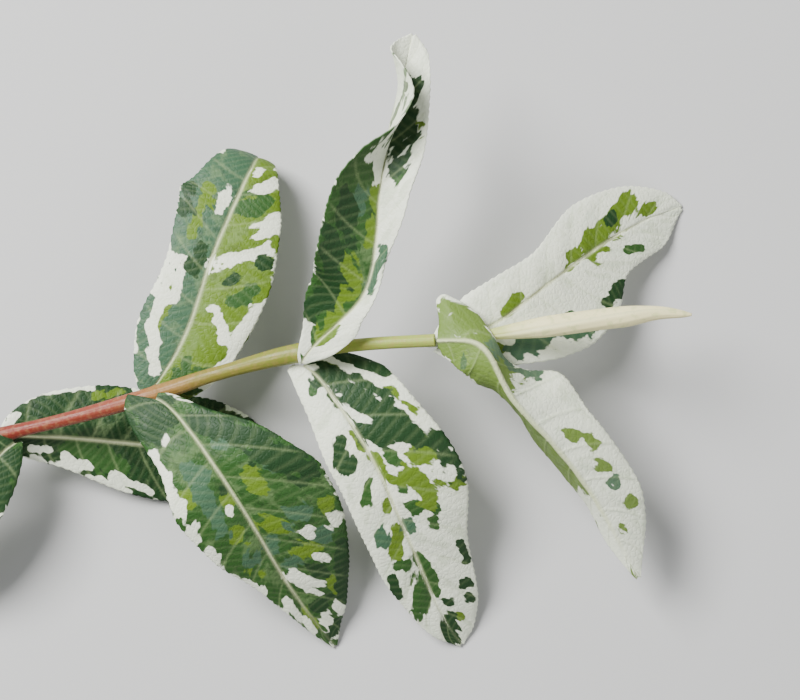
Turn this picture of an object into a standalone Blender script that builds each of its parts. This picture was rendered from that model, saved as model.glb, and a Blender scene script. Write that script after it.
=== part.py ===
"""Variegated willow cutting, lying on a level surface.

A shoot tip as it was cut, modelled leaf by leaf. +Z is up and the shoot grows along
+X. The stem is one tapering limb with a flat cut at its lower end. It carries four
pairs of leaves and, between the last two, a young leaf that is still rolled. Each
open leaf is a thin blade of two halves that spring from its midrib.
"""

import math

import bmesh
import bpy
import numpy as np
from mathutils import Vector

MM = 0.001

# The stem, in millimetres: its route from the flat cut to the last pair of leaves, and
# its radius at shares of that route. It swells a little at each pair of leaves.
STEM_ROUTE = (
    (-67.0, -14.2, 8.0),
    (-49.5, -10.3, 10.2),
    (-35.9, -6.5, 12.0),
    (-26.7, -3.5, 13.3),
    (-13.9, -0.3, 15.0),
    (-4.0, 0.9, 16.4),
    (5.0, 1.4, 17.7),
)
STEM_RADIUS = (
    (0.00, 0.95),
    (0.13, 1.05),
    (0.20, 0.95),
    (0.44, 1.20),
    (0.58, 1.03),
    (0.73, 1.37),
    (0.81, 0.92),
    (1.00, 0.90),
)
STEM_STEPS = 40
STEM_COLOUR = (0.42, 0.30, 0.08)

# The rolled leaf, in the same terms.
ROLL_ROUTE = (
    (5.4, 1.45, 17.2),
    (12.4, 2.2, 17.1),
    (21.6, 3.5, 17.8),
    (32.0, 4.8, 18.3),
    (37.0, 5.3, 18.6),
    (41.3, 5.0, 18.8),
)
ROLL_RADIUS = (
    (0.00, 0.35),
    (0.20, 0.75),
    (0.33, 1.20),
    (0.45, 1.50),
    (0.72, 1.50),
    (0.86, 1.00),
    (0.96, 0.55),
    (1.00, 0.20),
)
ROLL_STEPS = 24
ROLL_COLOUR = (0.83, 0.84, 0.55)

# The open leaves. A real blade is 0.3 mm thick, a solid one is twice that, and its
# midrib stands out of the underside.
BLADE_THICKNESS = 0.6
BLADE_STEPS_ALONG = 18
BLADE_STEPS_ACROSS = 8
MIDRIB_STEPS = 12
MIDRIB_END = 0.72
MIDRIB_RADIUS = ((0.0, 0.50), (0.3, 0.45), (0.72, 0.34))
MIDRIB_DEPTH = 0.12

# How far the lines from the midrib to the margin lean forward, in degrees, at
# shares of the midrib: backward at the rounded base, forward toward the tip.
USUAL_SWEEP = ((0, -70), (0.1, -35), (0.25, 0), (0.5, 18), (0.8, 30), (1, 50))

# Each open leaf is named for where it sits, and its halves for the side on which they
# lie when looking along the midrib from base to tip, with +Z up. Lengths are in
# millimetres and angles in degrees, and a value that changes along the leaf is keyed
# by the share of the midrib. "reach" is how far a half goes from midrib to margin,
# "lift" how far it slopes up from the midrib, and "curl" how much that slope turns.
LEAVES = {
    "leaf_base_front": {
        "colour": (0.08, 0.22, 0.05),
        "base": (-56.0, -13.6, 10.3),
        "length": 38.0,
        "heading": ((0, 214), (0.15, 228), (0.5, 231), (1, 224)),
        "pitch": ((0, 14), (0.15, 6), (0.5, -20), (1, -28)),
        "rests": True,
        "left": {
            "reach": ((0, 1.2), (0.1, 4), (0.25, 6.4), (0.45, 8), (0.65, 7.4), (0.85, 4.4), (1, 0.5)),
            "lift": 8,
            "curl": -20,
        },
        "right": {
            "reach": ((0, 0.8), (0.1, 4.4), (0.25, 6.6), (0.45, 7.6), (0.65, 7), (0.85, 4), (1, 0.5)),
            "lift": ((0, 22), (0.25, 10), (1, 8)),
            "curl": -22,
            "sweep": ((0, 0), (0.1, -30), (0.25, 0), (0.5, 18), (0.8, 30), (1, 50)),
        },
    },
    "leaf_base_back": {
        "colour": (0.05, 0.16, 0.04),
        "base": (-58.0, -12.7, 7.3),
        "length": 41.5,
        "heading": ((0, 0), (0.15, -2), (0.3, -6), (1, -5)),
        "pitch": ((0, -12), (0.5, -10), (1, -6)),
        "rests": True,
        "left": {
            "reach": (
                (0, 1), (0.1, 4.9), (0.2, 7), (0.35, 8.4),
                (0.6, 8.5), (0.75, 7), (0.9, 3.2), (1, 0.5),
            ),
            "lift": 5,
            "curl": -20,
        },
        "right": {
            "reach": (
                (0, 1), (0.1, 3.5), (0.2, 4.3), (0.4, 7.6),
                (0.55, 8.9), (0.75, 7.2), (0.9, 3.4), (1, 0.5),
            ),
            "lift": 0,
            "curl": -20,
        },
    },
    "leaf_lower_back": {
        "colour": (0.22, 0.40, 0.16),
        "base": (-36.0, -5.6, 10.3),
        "length": 45.0,
        "heading": ((0, 50), (0.15, 62), (0.35, 73), (0.6, 67), (1, 67)),
        "pitch": ((0, 4), (0.25, 2), (0.5, -9), (0.7, -16), (0.8, -40), (0.9, -85), (1, -105)),
        "rests": True,
        "left": {
            "reach": (
                (0, 2), (0.1, 5.4), (0.22, 7.3), (0.4, 6.4),
                (0.62, 8.4), (0.75, 7), (0.9, 4), (1, 0.6),
            ),
            "lift": 10,
            "curl": -25,
            "sweep": ((0, -65), (0.1, -35), (0.25, 0), (0.55, 14), (0.75, -12), (0.9, -10), (1, 10)),
        },
        "right": {
            "reach": (
                (0, 2), (0.1, 5.8), (0.2, 7.9), (0.4, 9.7), (0.6, 7.9),
                (0.7, 6.2), (0.8, 4.2), (0.9, 2.8), (1, 0.6),
            ),
            "lift": 10,
            "curl": -25,
            "sweep": ((0, -65), (0.1, -35), (0.25, 0), (0.6, 15), (0.8, 5), (1, 20)),
        },
    },
    "leaf_lower_front": {
        "colour": (0.16, 0.32, 0.10),
        "base": (-35.1, -7.1, 13.9),
        "length": 49.0,
        "heading": ((0, -20), (0.06, -44), (0.2, -54), (0.35, -58), (0.6, -63), (0.78, -58), (1, -54)),
        "pitch": ((0, 10), (0.15, 12), (0.35, -12), (0.6, -28), (1, -32)),
        "rests": True,
        "left": {
            "reach": (
                (0, 1), (0.1, 4), (0.2, 10.8), (0.3, 14.6), (0.4, 14.4),
                (0.6, 11.7), (0.8, 7), (0.9, 3.7), (1, 0.5),
            ),
            "lift": 8,
            "curl": -20,
            "sweep": ((0, 0), (0.1, 15), (0.25, 28), (0.6, 30), (1, 45)),
        },
        "right": {
            "reach": (
                (0, 4.3), (0.1, 8.1), (0.2, 7.2), (0.35, 9.1),
                (0.5, 7.8), (0.7, 3.8), (0.85, 2.2), (1, 0.5),
            ),
            "lift": ((0, 14), (0.2, 10), (1, 10)),
            "curl": -25,
            "sweep": ((0, -80), (0.1, -45), (0.25, -5), (0.5, 10), (0.8, 20), (1, 40)),
        },
    },
    "leaf_middle_upper": {
        "colour": (0.24, 0.38, 0.20),
        "base": (-14.0, -1.8, 16.4),
        "length": 51.0,
        "heading": ((0, 68), (0.06, 44), (0.18, 42), (0.35, 79), (0.5, 87), (0.65, 80), (1, 74)),
        "pitch": ((0, 45), (0.03, 26), (0.08, 10), (0.2, 16), (0.4, 10), (0.65, 2), (1, -4)),
        "midrib": ((0, 0.35), (0.1, 0.4), (0.72, 0.32)),
        "left": {
            "reach": (
                (0, 0.5), (0.1, 3.1), (0.2, 7), (0.35, 8.8), (0.5, 8.4),
                (0.65, 6.6), (0.8, 6.6), (0.9, 4.1), (1, 0.5),
            ),
            "lift": ((0, 5), (0.4, 12), (0.52, 25), (0.6, 50), (0.68, 95), (0.76, 110), (0.84, 80), (0.9, 35), (1, 5)),
            "curl": ((0, 0), (0.5, 20), (0.7, 10), (1, 0)),
            "sweep": ((0, -60), (0.1, -25), (0.25, 0), (0.5, 22), (0.65, 30), (0.8, 35), (1, 50)),
        },
        "right": {
            "reach": (
                (0, 0.5), (0.1, 4.5), (0.2, 2.6), (0.35, 1.8), (0.5, 4.8),
                (0.65, 6.1), (0.8, 5.3), (0.9, 4), (1, 0.5),
            ),
            "lift": ((0, 0), (0.3, 30), (0.52, 28), (0.66, 8), (1, 4)),
            "curl": 0,
            "sweep": ((0, 0), (0.1, 45), (0.2, 35), (0.35, 10), (0.5, 20), (0.8, 35), (1, 50)),
        },
    },
    "leaf_middle_lower": {
        "colour": (0.40, 0.52, 0.33),
        "base": (-13.9, -2.3, 14.0),
        "length": 51.0,
        "heading": ((0, -30), (0.08, -52), (0.25, -58), (0.45, -67), (0.75, -68), (1, -54)),
        "pitch": ((0, 8), (0.15, 6), (0.35, -10), (0.6, -25), (1, -28)),
        "rests": True,
        "left": {
            "reach": (
                (0, 1), (0.05, 6.5), (0.1, 9), (0.2, 10), (0.4, 12),
                (0.6, 8.9), (0.8, 7.2), (0.9, 4.8), (1, 0.5),
            ),
            "lift": ((0, -4), (0.25, 5), (1, 5)),
            "curl": -20,
            "sweep": ((0, 0), (0.05, 12), (0.2, 15), (0.5, 20), (0.8, 30), (1, 50)),
        },
        "right": {
            "reach": (
                (0, 1.5), (0.05, 4.2), (0.15, 4.8), (0.3, 6.2),
                (0.6, 6.4), (0.8, 4.7), (0.9, 3.2), (1, 0.5),
            ),
            "lift": 10,
            "curl": -25,
        },
    },
    "leaf_top_upper": {
        "colour": (0.66, 0.74, 0.62),
        "base": (5.5, 0.4, 16.2),
        "length": 45.5,
        "heading": ((0, 20), (0.15, 24), (0.28, 38), (0.6, 35), (0.8, 28), (1, 14)),
        "pitch": ((0, -5), (0.2, -12), (0.45, -26), (1, -24)),
        "rests": True,
        "left": {
            "reach": (
                (0, 1.5), (0.1, 4.3), (0.2, 5.8), (0.4, 5),
                (0.6, 7.8), (0.75, 6.9), (0.9, 3.9), (1, 0.5),
            ),
            "lift": ((0, 2), (0.3, 18), (1, 20)),
            "curl": -25,
        },
        "right": {
            "reach": (
                (0, 1), (0.1, 4.2), (0.2, 6.5), (0.3, 9.9), (0.4, 11.4),
                (0.5, 10.8), (0.66, 6.2), (0.8, 5.8), (1, 0.5),
            ),
            "lift": -5,
            "curl": -10,
        },
    },
    "leaf_top_lower": {
        "colour": (0.70, 0.76, 0.50),
        "base": (5.4, 1.3, 18.3),
        "length": 49.5,
        "heading": (
            (0, 2), (0.06, 0), (0.16, -50), (0.22, -66), (0.3, -56),
            (0.4, -46), (0.6, -52), (0.8, -60), (1, -61),
        ),
        "pitch": ((0, 26), (0.12, 20), (0.2, -4), (0.5, -17), (1, -22)),
        "midrib_side": 1,
        "left": {
            "reach": (
                (0, 2), (0.03, 6.6), (0.06, 7.3), (0.12, 3.6), (0.18, 3), (0.25, 5.5),
                (0.35, 9.8), (0.5, 7.6), (0.7, 7.4), (0.8, 6), (0.9, 3.1), (1, 0.5),
            ),
            "lift": (
                (0, -5), (0.06, -5), (0.12, -40), (0.2, -50),
                (0.3, -42), (0.4, -25), (0.6, -10), (1, -5),
            ),
            "curl": ((0, -25), (0.15, -10), (1, -15)),
            "sweep": ((0, 0), (0.03, -20), (0.07, -22), (0.12, 0), (0.4, 8), (0.8, 25), (1, 45)),
        },
        "right": {
            "reach": (
                (0, 1), (0.05, 3), (0.12, 4.6), (0.2, 4.6), (0.35, 3.4),
                (0.5, 5.8), (0.7, 4.4), (0.85, 2.6), (1, 0.5),
            ),
            "lift": (
                (0, -5), (0.15, -12), (0.22, -30), (0.28, -65),
                (0.35, -75), (0.5, -68), (0.7, -66), (0.85, -45), (1, -10),
            ),
            "curl": -10,
            "sweep": ((0, 0), (0.03, -25), (0.06, -25), (0.15, -5), (0.5, 10), (1, 40)),
        },
    },
}


def smooth(keys, s):
    """The value at the shares s: a plain number, or a curve that never overshoots its keys."""
    s = np.asarray(s, float)
    if isinstance(keys, (int, float)):
        return np.full_like(s, keys)
    x, y = (np.array(column, float) for column in zip(*keys))
    gap = np.diff(x)
    slope = np.diff(y) / gap
    bend = np.concatenate([slope[:1], np.zeros(len(x) - 2), slope[-1:]])
    for i in range(1, len(x) - 1):
        if slope[i - 1] * slope[i] > 0:
            bend[i] = 2 * slope[i - 1] * slope[i] / (slope[i - 1] + slope[i])
    s = np.clip(s, x[0], x[-1])
    i = np.clip(np.searchsorted(x, s, side="right") - 1, 0, len(gap) - 1)
    u = (s - x[i]) / gap[i]
    return (
        y[i] * (1 + 2 * u) * (1 - u) ** 2
        + y[i + 1] * u * u * (3 - 2 * u)
        + gap[i] * u * (1 - u) * (bend[i] * (1 - u) - bend[i + 1] * u)
    )


def route(points, steps):
    """A smooth line through a few points, as evenly spread points of their own."""
    points = np.array(points)
    run = np.concatenate([[0], np.cumsum(np.linalg.norm(np.diff(points, axis=0), axis=1))])
    shares = np.linspace(0, 1, steps + 1)
    return np.stack([smooth(tuple(zip(run / run[-1], column)), shares) for column in points.T], 1)


class Rib:
    """A midrib that leaves its base in a heading and a pitch, both keyed by share."""

    def __init__(self, base, length, heading, pitch, steps=240):
        self.s = np.linspace(0, 1, steps + 1)
        turn = np.radians(smooth(heading, self.s))
        rise = np.radians(smooth(pitch, self.s))
        self.forward = np.stack([np.cos(rise) * np.cos(turn), np.cos(rise) * np.sin(turn), np.sin(rise)], 1)
        self.right = np.stack([np.sin(turn), -np.cos(turn), np.zeros_like(turn)], 1)
        self.up = np.cross(self.right, self.forward)
        moves = (self.forward[1:] + self.forward[:-1]) / 2 * length / steps
        self.points = np.array(base) + np.vstack([np.zeros(3), np.cumsum(moves, 0)])

    def at(self, name, s):
        """Points or directions along the rib at the shares s."""
        values = getattr(self, name)
        return np.stack([np.interp(s, self.s, values[:, k]) for k in range(3)], -1)


def blade_points(rib, left, right, s, t):
    """The blade at shares s of the midrib and t across, from -1 at left to 1 at right."""
    s, t = np.asarray(s, float), np.asarray(t, float)
    forward, outward, up = rib.at("forward", s), rib.at("right", s), rib.at("up", s)
    placed = rib.at("points", s)
    for half, side in ((left, -1), (right, 1)):
        mine = t * side > 0
        u = np.abs(t[mine])
        share = s[mine]
        reach = smooth(half["reach"], share)
        lift = np.radians(smooth(half["lift"], share))
        curl = np.radians(smooth(half["curl"], share))
        sweep = np.radians(smooth(half.get("sweep", USUAL_SWEEP), share))
        arc = u * np.sinc(curl * u / 2 / math.pi) * np.cos(sweep) * reach
        across = side * arc * np.cos(lift + curl * u / 2)
        rise = arc * np.sin(lift + curl * u / 2)
        along = u * np.sin(sweep) * reach
        placed[mine] += (
            across[:, None] * outward[mine] + rise[:, None] * up[mine] + along[:, None] * forward[mine]
        )
    return placed


def finish(name, colour, roughness):
    """A material of its own for one piece."""
    material = bpy.data.materials.new(name)
    material.use_nodes = True
    shader = material.node_tree.nodes["Principled BSDF"]
    shader.inputs["Base Color"].default_value = (*colour, 1)
    shader.inputs["Roughness"].default_value = roughness
    shader.inputs["Metallic"].default_value = 0
    return material


def tube(name, points, radii, sides_per_quarter, collection):
    """A round limb along some points, with flat ends and a radius at each point."""
    curve = bpy.data.curves.new(name, "CURVE")
    curve.dimensions = "3D"
    curve.bevel_depth = MM
    curve.bevel_resolution = sides_per_quarter
    curve.use_fill_caps = True
    spline = curve.splines.new("POLY")
    spline.points.add(len(points) - 1)
    for point, place, radius in zip(spline.points, points, radii):
        point.co = (*(place * MM), 1)
        point.radius = radius
    limb = bpy.data.objects.new(name, curve)
    collection.objects.link(limb)
    return limb


def as_mesh(thing, collection):
    """The same thing with its modifiers applied, as a closed mesh that replaces it."""
    name = thing.name
    bpy.context.view_layer.update()
    evaluated = thing.evaluated_get(bpy.context.evaluated_depsgraph_get())
    mesh = bpy.data.meshes.new_from_object(evaluated)
    bm = bmesh.new()
    bm.from_mesh(mesh)
    bmesh.ops.remove_doubles(bm, verts=bm.verts, dist=0.00001)
    bm.to_mesh(mesh)
    bm.free()
    copy = bpy.data.objects.new(name, mesh)
    copy.matrix_world = thing.matrix_world
    collection.objects.link(copy)
    bpy.data.objects.remove(thing)
    copy.name = name
    return copy


def open_leaf(name, leaf, collection, workshop):
    """One open leaf: a blade made from a grid, thickened, and fused to its midrib."""
    rib = Rib(leaf["base"], leaf["length"], leaf["heading"], leaf["pitch"])
    base = np.array(leaf["base"])

    mesh = bpy.data.meshes.new(name)
    bm = bmesh.new()
    bmesh.ops.create_grid(bm, x_segments=BLADE_STEPS_ALONG, y_segments=BLADE_STEPS_ACROSS, size=1)
    corners = np.array([corner.co for corner in bm.verts])
    along = (corners[:, 0] + 1) / 2
    shares = along * (0.75 + 0.25 * along)
    places = blade_points(rib, leaf["left"], leaf["right"], shares, corners[:, 1])
    for corner, place in zip(bm.verts, places):
        corner.co = (place - base) * MM
    bm.to_mesh(mesh)
    bm.free()
    blade = bpy.data.objects.new(name, mesh)
    blade.location = base * MM
    collection.objects.link(blade)
    shell = blade.modifiers.new("Thickness", "SOLIDIFY")
    shell.thickness = BLADE_THICKNESS * MM
    shell.offset = 0

    shares = np.linspace(0, MIDRIB_END, MIDRIB_STEPS + 1)
    radii = smooth(leaf.get("midrib", MIDRIB_RADIUS), shares)
    side = leaf.get("midrib_side", -1)
    line = rib.at("points", shares) + side * MIDRIB_DEPTH * rib.at("up", shares)
    as_mesh(tube(name + "_midrib", line, radii, 2, workshop), workshop)
    union = blade.modifiers.new("Midrib", "BOOLEAN")
    union.operation = "UNION"
    union.operand_type = "COLLECTION"
    union.collection = workshop
    solid = as_mesh(blade, collection)
    for piece in list(workshop.objects):
        bpy.data.objects.remove(piece)

    if leaf.get("rests"):
        lowest = min(corner.co.z for corner in solid.data.vertices)
        droop = -solid.location.z / lowest
        for corner in solid.data.vertices:
            corner.co.z *= droop
    return solid


for thing in list(bpy.data.objects):
    bpy.data.objects.remove(thing)

cutting = bpy.data.collections.new("willow_cutting")
workshop = bpy.data.collections.new("workshop")
bpy.context.scene.collection.children.link(cutting)
bpy.context.scene.collection.children.link(workshop)

shares = np.linspace(0, 1, STEM_STEPS + 1)
stem = tube("stem", route(STEM_ROUTE, STEM_STEPS), smooth(STEM_RADIUS, shares), 4, cutting)
stem.data.materials.append(finish("stem", STEM_COLOUR, 0.5))

shares = np.linspace(0, 1, ROLL_STEPS + 1)
roll = tube("leaf_tip_rolled", route(ROLL_ROUTE, ROLL_STEPS), smooth(ROLL_RADIUS, shares), 4, cutting)
roll.data.materials.append(finish("leaf_tip_rolled", ROLL_COLOUR, 0.55))

for name, leaf in LEAVES.items():
    solid = open_leaf(name, leaf, cutting, workshop)
    solid.data.materials.clear()
    solid.data.materials.append(finish(name, leaf["colour"], 0.55))

# The whole cutting hangs on one empty, which puts the middle of its underside, the
# level on which the leaves rest, at the origin.
bpy.context.view_layer.update()
corners = [
    thing.matrix_world @ Vector(corner)
    for thing in cutting.objects
    for corner in thing.bound_box
]
middle = [(min(c[k] for c in corners) + max(c[k] for c in corners)) / 2 for k in range(2)]
holder = bpy.data.objects.new("willow_cutting", None)
cutting.objects.link(holder)
for thing in cutting.objects:
    if thing is not holder:
        thing.parent = holder
holder.location = (-middle[0], -middle[1], 0)
bpy.data.collections.remove(workshop)
bpy.context.view_layer.update()
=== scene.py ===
"""Variegated willow cutting: the looks of a shoot tip that lies on a pale table."""

import math

import bpy
import numpy as np
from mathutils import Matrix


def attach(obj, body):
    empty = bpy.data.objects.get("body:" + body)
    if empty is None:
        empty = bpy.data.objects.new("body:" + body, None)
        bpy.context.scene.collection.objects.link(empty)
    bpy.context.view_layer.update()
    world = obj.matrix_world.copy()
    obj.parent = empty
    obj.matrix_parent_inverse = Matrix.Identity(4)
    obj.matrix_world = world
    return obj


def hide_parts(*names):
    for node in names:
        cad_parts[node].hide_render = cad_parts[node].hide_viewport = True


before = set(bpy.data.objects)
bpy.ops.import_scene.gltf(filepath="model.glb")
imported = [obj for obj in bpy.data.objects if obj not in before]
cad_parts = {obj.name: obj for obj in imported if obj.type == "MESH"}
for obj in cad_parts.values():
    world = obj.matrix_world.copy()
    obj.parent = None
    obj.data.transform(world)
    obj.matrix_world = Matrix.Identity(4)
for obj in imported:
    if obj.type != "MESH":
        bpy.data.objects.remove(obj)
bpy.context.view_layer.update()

# The camera looks straight down at the cutting from a third of a metre, as if it were
# held over the table. Its place is in metres.
CAMERA_PLACE = (0.01909, 0.000219, 0.33346)
camera = bpy.data.objects.new("camera", bpy.data.cameras.new("camera"))
camera.location = CAMERA_PLACE
camera.data.lens = 100
camera.data.sensor_width = 36
camera.data.clip_start = 0.01
bpy.context.scene.collection.objects.link(camera)
bpy.context.scene.camera = camera

# The light is a broad soft box up to the left, with a weaker one across from it and an
# even pale room around them: name, place and size in metres, and power in watts.
ROOM_TINT, ROOM_STRENGTH = (0.92, 0.95, 1.0, 1), 0.26
for name, place, size, power in (
    ("soft_box", (-0.36, 0.30, 0.52), 0.34, 12.5),
    ("fill", (0.42, -0.30, 0.50), 0.50, 1.6),
):
    lamp = bpy.data.objects.new(name, bpy.data.lights.new(name, "AREA"))
    lamp.location = place
    lamp.data.size = size
    lamp.data.energy = power
    lamp.rotation_mode = "QUATERNION"
    lamp.rotation_quaternion = lamp.location.to_track_quat("Z", "Y")
    bpy.context.scene.collection.objects.link(lamp)
room = bpy.data.worlds.new("room")
room.use_nodes = True
room.node_tree.nodes["Background"].inputs["Color"].default_value = ROOM_TINT
room.node_tree.nodes["Background"].inputs["Strength"].default_value = ROOM_STRENGTH
bpy.context.scene.world = room

# The table is a plain pale board, matt and level. The cutting lies loose on it and
# touches it with the tips and margins of six leaves. Half its side is given in metres.
TABLE_HALF = 1.5
TABLE_TONE = (0.56, 0.56, 0.55, 1)
table = bpy.data.meshes.new("table")
table.from_pydata(
    [(-TABLE_HALF, -TABLE_HALF, 0), (TABLE_HALF, -TABLE_HALF, 0),
     (TABLE_HALF, TABLE_HALF, 0), (-TABLE_HALF, TABLE_HALF, 0)],
    [], [(0, 1, 2, 3)],
)
table_top = bpy.data.objects.new("table", table)
bpy.context.scene.collection.objects.link(table_top)
board = bpy.data.materials.new("pale board")
board.use_nodes = True
board_shader = board.node_tree.nodes["Principled BSDF"]
board_shader.inputs["Base Color"].default_value = TABLE_TONE
board_shader.inputs["Roughness"].default_value = 0.85
table.materials.append(board)

# The stem is a round young shoot, red at its lower end and yellow-green at the tip, with
# a flat cut below and a slight swelling at each pair of leaves. Its route is given in
# millimetres, and MIDDLE takes a place on the cutting to its place on the table.
MM = 0.001
MIDDLE = np.array((19.0903, 0.219, 0.0))
STEM_ROUTE = (
    (-67.0, -14.2, 8.0), (-49.5, -10.3, 10.2), (-35.9, -6.5, 12.0), (-26.7, -3.5, 13.3),
    (-13.9, -0.3, 15.0), (-4.0, 0.9, 16.4), (5.0, 1.4, 17.7),
)
STEM_RADIUS = (
    (0.00, 0.95), (0.13, 1.05), (0.20, 0.95), (0.44, 1.20),
    (0.58, 1.03), (0.73, 1.37), (0.81, 0.92), (1.00, 0.90),
)
STEM_RINGS, STEM_SIDES = 420, 56
FIBRE_HEIGHTS = (0.012, 0.008)
SCAR_HEIGHT, SCAR_WIDTH = 0.10, 0.006
SCARS = ((0.145, 0.4), (0.445, 2.6), (0.735, 1.0))
# The first of these three tones is painted shade, laid on the underside of the stem; the others are
# its flecks and the pith at its cut.
STEM_PAINTED_SHADE, STEM_FLECK, STEM_PITH = (0.09, 0.028, 0.016), (0.40, 0.23, 0.10), (0.62, 0.62, 0.36)
STEM_TONES = (
    (0.00, (0.15, 0.022, 0.014)), (0.16, (0.20, 0.030, 0.018)), (0.36, (0.23, 0.045, 0.024)),
    (0.44, (0.28, 0.13, 0.035)), (0.56, (0.20, 0.18, 0.03)), (0.72, (0.19, 0.22, 0.03)),
    (0.86, (0.30, 0.37, 0.06)), (1.00, (0.34, 0.41, 0.08)),
)


def smooth(keys, s):
    """The value at the shares s: a plain number, or a curve that never overshoots its keys."""
    s = np.asarray(s, float)
    if isinstance(keys, (int, float)):
        return np.full_like(s, keys)
    x, y = (np.array(column, float) for column in zip(*keys))
    gap = np.diff(x)
    slope = np.diff(y) / gap
    bend = np.concatenate([slope[:1], np.zeros(len(x) - 2), slope[-1:]])
    for i in range(1, len(x) - 1):
        if slope[i - 1] * slope[i] > 0:
            bend[i] = 2 * slope[i - 1] * slope[i] / (slope[i - 1] + slope[i])
    s = np.clip(s, x[0], x[-1])
    i = np.clip(np.searchsorted(x, s, side="right") - 1, 0, len(gap) - 1)
    u = (s - x[i]) / gap[i]
    return (
        y[i] * (1 + 2 * u) * (1 - u) ** 2
        + y[i + 1] * u * u * (3 - 2 * u)
        + gap[i] * u * (1 - u) * (bend[i] * (1 - u) - bend[i + 1] * u)
    )


def route(points, steps):
    """A smooth line through a few points, as evenly spread points of their own."""
    points = np.array(points)
    run = np.concatenate([[0], np.cumsum(np.linalg.norm(np.diff(points, axis=0), axis=1))])
    shares = np.linspace(0, 1, steps + 1)
    return np.stack([smooth(tuple(zip(run / run[-1], column)), shares) for column in points.T], 1)


def unit(vectors):
    """The same directions at length one."""
    return vectors / np.maximum(np.linalg.norm(vectors, axis=-1, keepdims=True), 1e-9)


def piece(name, places, faces, fields, material):
    mesh = bpy.data.meshes.new(name + "_skin")
    mesh.vertices.add(len(places))
    mesh.vertices.foreach_set("co", ((places + MIDDLE) * MM).ravel())
    mesh.loops.add(faces.size)
    mesh.loops.foreach_set("vertex_index", faces.ravel())
    mesh.polygons.add(len(faces))
    mesh.polygons.foreach_set("loop_start", np.arange(0, faces.size, faces.shape[1]))
    mesh.update(calc_edges=True)
    mesh.validate()
    mesh.shade_smooth()
    for field, values in fields.items():
        mesh.attributes.new(field, "FLOAT", "POINT").data.foreach_set("value", values.ravel())
    mesh.materials.append(material)
    thing = bpy.data.objects.new(name + "_skin", mesh)
    bpy.context.scene.collection.objects.link(thing)
    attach(thing, "root")
    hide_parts(name)


def limb(line, radii, sides):
    """The walls of a limb along a line, with a radius for each ring and side."""
    ahead = unit(np.gradient(line, axis=0))
    across = unit(np.cross(ahead, (0, 0, 1.0)))
    above = np.cross(across, ahead)
    turn = np.arange(sides) / sides * 2 * math.pi
    ring = across[:, None] * np.cos(turn)[:, None] + above[:, None] * np.sin(turn)[:, None]
    places = (line[:, None] + ring * radii[..., None]).reshape(-1, 3)
    first = np.arange(len(line) - 1)[:, None] * sides
    a = first + np.arange(sides)
    b = first + (np.arange(sides) + 1) % sides
    walls = np.stack([a, b, b + sides, a + sides], -1).reshape(-1, 4)
    return places, walls


def with_caps(places, walls, line, sides):
    """The limb closed at each end by a fan of four-sided faces round a middle point."""
    caps = []
    centre = len(places)
    for first, middle, flip in ((0, line[0], True), (len(places) - sides, line[-1], False)):
        for k in range(0, sides, 2):
            face = [first + k, first + k + 1, first + (k + 2) % sides, centre]
            caps.append(face[::-1] if flip else face)
        places = np.vstack([places, middle])
        centre += 1
    return places, np.vstack([walls, caps])


class Finish:
    """A material under construction: short calls for its nodes and links."""

    def __init__(self, tree):
        self.tree = tree

    def node(self, kind, **settings):
        made = self.tree.nodes.new(kind)
        for key, value in settings.items():
            setattr(made, key, value)
        return made

    def fill(self, socket, value):
        """Links a socket to another, or sets it to a number or to a colour of three parts."""
        if isinstance(value, bpy.types.NodeSocket):
            self.tree.links.new(value, socket)
        elif isinstance(value, tuple):
            socket.default_value = (*value, 1)
        else:
            socket.default_value = value

    def field(self, name):
        """A number that the mesh carries at each of its points."""
        return self.node("ShaderNodeAttribute", attribute_name=name).outputs["Fac"]

    def place(self):
        return self.node("ShaderNodeTexCoord").outputs["Object"]

    def maths(self, operation, *values):
        made = self.node("ShaderNodeMath", operation=operation)
        for socket, value in zip(made.inputs, values):
            self.fill(socket, value)
        return made.outputs[0]

    def times(self, value, factor):
        return self.maths("MULTIPLY", value, factor)

    def swing(self, noise, width):
        """A noise as a swing to either side of 0, that wide at most."""
        return self.times(self.maths("SUBTRACT", noise, 0.5), width)

    def mix(self, share, one, other):
        made = self.node("ShaderNodeMix", data_type="RGBA")
        self.fill(made.inputs[0], share)
        self.fill(made.inputs[6], one)
        self.fill(made.inputs[7], other)
        return made.outputs[2]

    def noise(self, scale, detail, place=None):
        made = self.node("ShaderNodeTexNoise")
        made.inputs["Scale"].default_value = scale
        made.inputs["Detail"].default_value = detail
        self.fill(made.inputs["Vector"], place or self.place())
        return made.outputs["Fac"]

    def between(self, value, low, high, to_low=0.0, to_high=1.0):
        """A soft step: to_low at low, to_high at high."""
        made = self.node("ShaderNodeMapRange", interpolation_type="SMOOTHSTEP")
        for socket, number in zip(made.inputs[:5], (value, low, high, to_low, to_high)):
            self.fill(socket, number)
        return made.outputs[0]

    def bump(self, height, strength, distance):
        made = self.node("ShaderNodeBump")
        made.inputs["Strength"].default_value = strength
        made.inputs["Distance"].default_value = distance
        self.fill(made.inputs["Height"], height)
        return made.outputs[0]


def new_finish(name, roughness):
    """A named material of weak gloss, with its builder and its shader."""
    material = bpy.data.materials.new(name)
    material.use_nodes = True
    shader = material.node_tree.nodes["Principled BSDF"]
    shader.inputs["Roughness"].default_value = roughness
    shader.inputs["Specular IOR Level"].default_value = 0.32
    return material, Finish(material.node_tree), shader


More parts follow.
